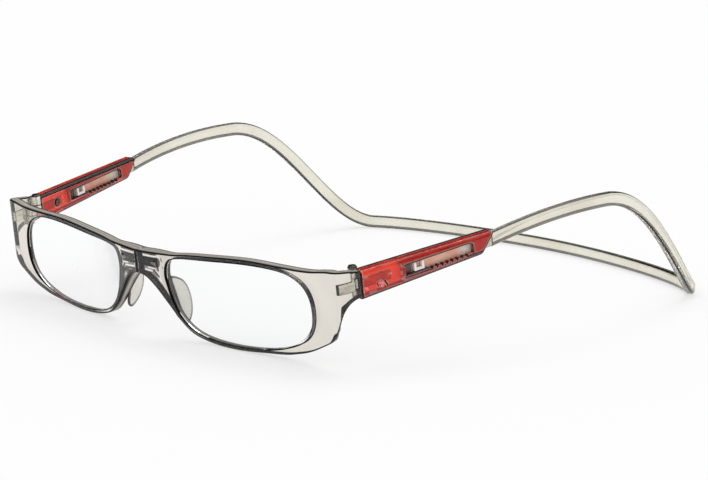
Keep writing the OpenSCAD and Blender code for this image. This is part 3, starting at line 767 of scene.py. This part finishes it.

# solids whose edges are broken a little, as a mould or a deburring leaves them: round is the width
# of that break, line that of the painted dark line, the shade which clear plastic shows there, and
# cell the longest edge of the mesh that carries the line
eased = {
    "sleeve": {"round": 0.0002, "line": 0.0006, "cell": 0.00042, "over": 25, "plainTop": 0.15,
               "topBand": (0.0004, 0.0008, 0.0012), "outerFace": -0.0003,
               # painted glints of the rivet and the leaf's corners, and dark spots of painted
               # shade, in millimetres from the hinge
               "paintedGlintsAndShade": [(5.6, -0.4, 6.5, -0.9, 0.75, 0.25), (5.9, -1.8, 6.2, -1.9, 0.5, 0.25),
                          (7.1, -0.7, 7.7, -1.9, 0.42, 1.0), (4.6, -0.6, 4.9, -1.5, 0.34, 1.0),
                          (1.2, 1.9, 2.0, 1.8, 0.42, 0.25), (1.1, -0.9, 1.5, -1.3, 0.46, 0.25),
                          (2.2, -2.5, 4.0, -2.4, 0.34, 0.25), (8.6, 0.8, 9.2, 0.8, 0.36, 0.25),
                          (12.5, 2.0, 12.7, 1.5, 0.4, 0.25), (12.4, 0.2, 12.5, -0.4, 0.4, 0.25),
                          (12.8, -1.9, 13.5, -2.3, 0.4, 0.25)],
               "mat": sleeveRed, "slot": "sleeve_red", "body": "temple"},
    "catch_clip": {"round": 0.0001, "line": 0.00018, "cell": 0.0003,
                   "mat": clipPale, "slot": "clip_pale", "body": "end"},
    "band_end": {"round": 0.00012, "line": 0.0003, "cell": 0.0005,
                 "head": (0.0164, -0.0004), "tail": (0.0295, 0.0055), "tailTone": 0.25,
                 "mat": tonguePaintedRedLight, "slot": "band_clear", "body": "end"},
    "hinge_front_leaf": {"round": 0.00006, "line": 0.0002, "cell": 0.0003,
                         "mat": hingeSteel, "slot": "hinge_steel", "body": "front"},
    "hinge_sleeve_leaf": {"round": 0.00006, "line": 0.0002, "cell": 0.0003,
                          "mat": hingeSteel, "slot": "hinge_steel", "body": "temple"},
    "hinge_screw": {"round": 0.00005, "line": 0.0002, "cell": 0.0003,
                    "mat": screwDark, "slot": "hinge_steel", "body": "front"},
    "leaf_rivet": {"round": 0.00008, "line": 0.0001, "cell": 0.0003,
                   "mat": rivetPaintedRedShade, "slot": "hinge_steel", "body": "temple"},
    "bridge_magnet": {"round": 0.00012, "line": 0.0002, "cell": 0.0004,
                      "mat": magnetGrey, "slot": "magnet_grey", "body": "front"},
}


def easedCopy(node, side, sign, look):
    # the node's solid with its edges broken, and a mask for the painted dark lines of shade along
    # its sharp edges
    bm = bmesh.new()
    bm.from_mesh(nodes[node + "_" + side].data)
    bmesh.ops.remove_doubles(bm, verts=bm.verts, dist=easing["weld"])
    bmesh.ops.dissolve_limit(
        bm, angle_limit=math.radians(easing["flat"]), verts=bm.verts, edges=bm.edges)
    paired = [e for e in bm.edges if len(e.link_faces) == 2]
    fold, over = math.radians(easing["fold"]), math.radians(look.get("over", easing["fold"]))
    sharp = [e for e in paired if e.calc_face_angle(0) > fold]
    lines = [e for e in paired if e.calc_face_angle(0) > over]
    if "plainTop" in look:
        # the round between the top and the outer face gets no painted line
        lines = [e for e in lines
                 if min(sum(f.normal.z for f in e.link_faces),
                        sum(f.normal.x * sign for f in e.link_faces)) < look["plainTop"]]
    marks = []
    for edge in lines:
        a, b = edge.verts
        count = max(1, math.ceil(edge.calc_length() / (easing["spacing"] * look["line"])))
        marks += [a.co.lerp(b.co, k / count) for k in range(count + 1)]
        # along the top's inner edge the painted dark line is broad
        looksUp = max(f.normal.z for f in edge.link_faces) > easing["topNormal"]
        if looksUp and (a.co - b.co).length > easing["topLong"]:
            marks += [m + Vector((sign * shift, 0, 0)) for m in marks[-count - 1:]
                      for shift in look.get("topBand", ())]
    tree = KDTree(len(marks))
    for i, mark in enumerate(marks):
        tree.insert(mark, i)
    tree.balance()
    bmesh.ops.bevel(bm, geom=sharp, offset=look["round"], offset_type="OFFSET", segments=2,
                    profile=0.6, affect="EDGES", clamp_overlap=True)
    bmesh.ops.triangulate(bm, faces=bm.faces)
    for step in range(easing["rounds"]):
        long = [e for e in bm.edges if e.calc_length() > look["cell"]]
        if not long:
            break
        bmesh.ops.subdivide_edges(bm, edges=long, cuts=1, use_grid_fill=False)
        bmesh.ops.triangulate(bm, faces=[f for f in bm.faces if len(f.verts) > 3])
    # the sleeve's own directions, from the hinge
    dark = []
    zero = sleevePoint(0, 0, 0)
    across, along, upward = ((sleevePoint(*step) - zero) * 100 for step in
                             ((0.01, 0, 0), (0, 0.01, 0), (0, 0, 0.01)))
    for vert in bm.verts:
        # painted shade: a dark line near the marked sharp edges
        tone = 1 - eased01(tree.find(vert.co)[2] / look["line"])
        at = Vector((vert.co.x * sign, vert.co.y + front["middleY"], vert.co.z)) - zero
        if "head" in look:
            # the end in front of the clip is painted dark as the sleeve's shade, and the other end,
            # which comes out when the sleeve is drawn out, turns to the band's own pale colour,
            # without the painted red light
            tone = max(tone, ramp(at.dot(along), *look["head"]),
                       look["tailTone"] * ramp(at.dot(along), *look["tail"]))
        # painted highlights and painted shade on the sleeve's outer face
        if "paintedGlintsAndShade" in look and at.dot(across) > look["outerFace"]:
            tone = streaked(tone, at.dot(along), at.dot(upward), look["paintedGlintsAndShade"])
        dark.append(tone)
    obj = addPiece(node.replace("_", ".") + ".eased." + side, bm, look["mat"], dark, 40)
    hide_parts(node + "_" + side)
    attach(obj, look["body"] + "_" + side)


for side, sign in sides:
    for node, look in eased.items():
        easedCopy(node, side, sign, look)
print("eased solids built")


# a white sweep under a white sky, in metres and degrees
studioSet = {
    "floorHalf": 12, "floorDrop": 0.00005, "paper": 0.6,
    "cards": 48, "cardsAway": 1.6, "cardsLow": 0.02, "cardsHigh": 1.2,
    "sky": 0.84, "sun": 0.6, "sunWide": 35, "sunTilt": (-28, -12),
}


def addPlain(name, verts, faces, mat):
    mesh = bpy.data.meshes.new(name)
    mesh.from_pydata(verts, [], faces)
    mesh.materials.append(mat)
    obj = bpy.data.objects.new(name, mesh)
    bpy.context.scene.collection.objects.link(obj)
    return obj


def paleFloor():
    # the eye, gloss and glass see the floor as nearly white paper with a faint shadow
    mat = bpy.data.materials.new("floorPale")
    mat.use_nodes = True
    base = mat.node_tree.nodes["Principled BSDF"]
    base.inputs["Base Color"].default_value = (0.97, 0.97, 0.97, 1)
    base.inputs["Roughness"].default_value = 0.9
    base.inputs["Specular IOR Level"].default_value = 0.0
    n, links = mat.node_tree.nodes, mat.node_tree.links
    paper, mix = n.new("ShaderNodeEmission"), n.new("ShaderNodeMixShader")
    path, either, seen, amount = (n.new("ShaderNodeLightPath"), n.new("ShaderNodeMath"),
                                  n.new("ShaderNodeMath"), n.new("ShaderNodeMath"))
    for node, kind in ((either, "MAXIMUM"), (seen, "MAXIMUM"), (amount, "MULTIPLY")):
        node.operation = kind
    amount.inputs[1].default_value = studioSet["paper"]
    links.new(path.outputs["Is Camera Ray"], either.inputs[0])
    links.new(path.outputs["Is Glossy Ray"], either.inputs[1])
    links.new(either.outputs["Value"], seen.inputs[0])
    links.new(path.outputs["Is Transmission Ray"], seen.inputs[1])
    links.new(seen.outputs["Value"], amount.inputs[0])
    links.new(amount.outputs["Value"], mix.inputs["Fac"])
    links.new(base.outputs["BSDF"], mix.inputs[1])
    links.new(paper.outputs["Emission"], mix.inputs[2])
    links.new(mix.outputs["Shader"], n["Material Output"].inputs["Surface"])
    size = studioSet["floorHalf"]
    corners = [(-size, -size, 0), (size, -size, 0), (size, size, 0), (-size, size, 0)]
    floor = addPlain("studioFloor", corners, [(0, 1, 2, 3)], mat)
    floor.location.z = -studioSet["floorDrop"]


def darkCards():
    # dark cards round the set draw the edges of the clear plastic, as in glass photography
    mat = bpy.data.materials.new("cardDark")
    mat.use_nodes = True
    base = mat.node_tree.nodes["Principled BSDF"]
    base.inputs["Base Color"].default_value = (0.02, 0.02, 0.02, 1)
    base.inputs["Roughness"].default_value = 1.0
    count, away = studioSet["cards"], studioSet["cardsAway"]
    verts, faces = [], []
    for i in range(count):
        a = 2 * math.pi * i / count
        verts += [(away * math.cos(a), away * math.sin(a), z)
                  for z in (studioSet["cardsLow"], studioSet["cardsHigh"])]
        j = (i + 1) % count
        faces.append((2 * i, 2 * j, 2 * j + 1, 2 * i + 1))
    cards = addPlain("darkCards", verts, faces, mat)
    cards.visible_camera = False
    cards.visible_diffuse = False
    cards.visible_shadow = False


def skyAndSun():
    world = bpy.data.worlds.new("studioWorld")
    bpy.context.scene.world = world
    world.use_nodes = True
    world.node_tree.nodes["Background"].inputs["Color"].default_value = (1, 1, 1, 1)
    world.node_tree.nodes["Background"].inputs["Strength"].default_value = studioSet["sky"]
    sun = bpy.data.lights.new("softKey", "SUN")
    sun.energy = studioSet["sun"]
    sun.angle = math.radians(studioSet["sunWide"])
    key = bpy.data.objects.new("softKey", sun)
    key.rotation_euler = [math.radians(tilt) for tilt in studioSet["sunTilt"]] + [0]
    bpy.context.scene.collection.objects.link(key)


paleFloor()
darkCards()
skyAndSun()

# the camera of the photograph, found from the glasses' mirror symmetry and the table
view = {"place": (0.6714, -0.6152, 0.1972), "ahead": (-0.7243, 0.6609, -0.1966), "lens": 165.8,
        "sensor": 36, "near": 0.05, "far": 50}
camera = bpy.data.cameras.new("photoCamera")
camera.lens = view["lens"]
camera.sensor_width = view["sensor"]
camera.clip_start, camera.clip_end = view["near"], view["far"]
eye = bpy.data.objects.new("photoCamera", camera)
eye.location = view["place"]
eye.rotation_euler = Vector(view["ahead"]).to_track_quat("-Z", "Y").to_euler()
bpy.context.scene.collection.objects.link(eye)
bpy.context.scene.camera = eye
bpy.context.scene.view_settings.view_transform = "Standard"
print("studio and camera set")
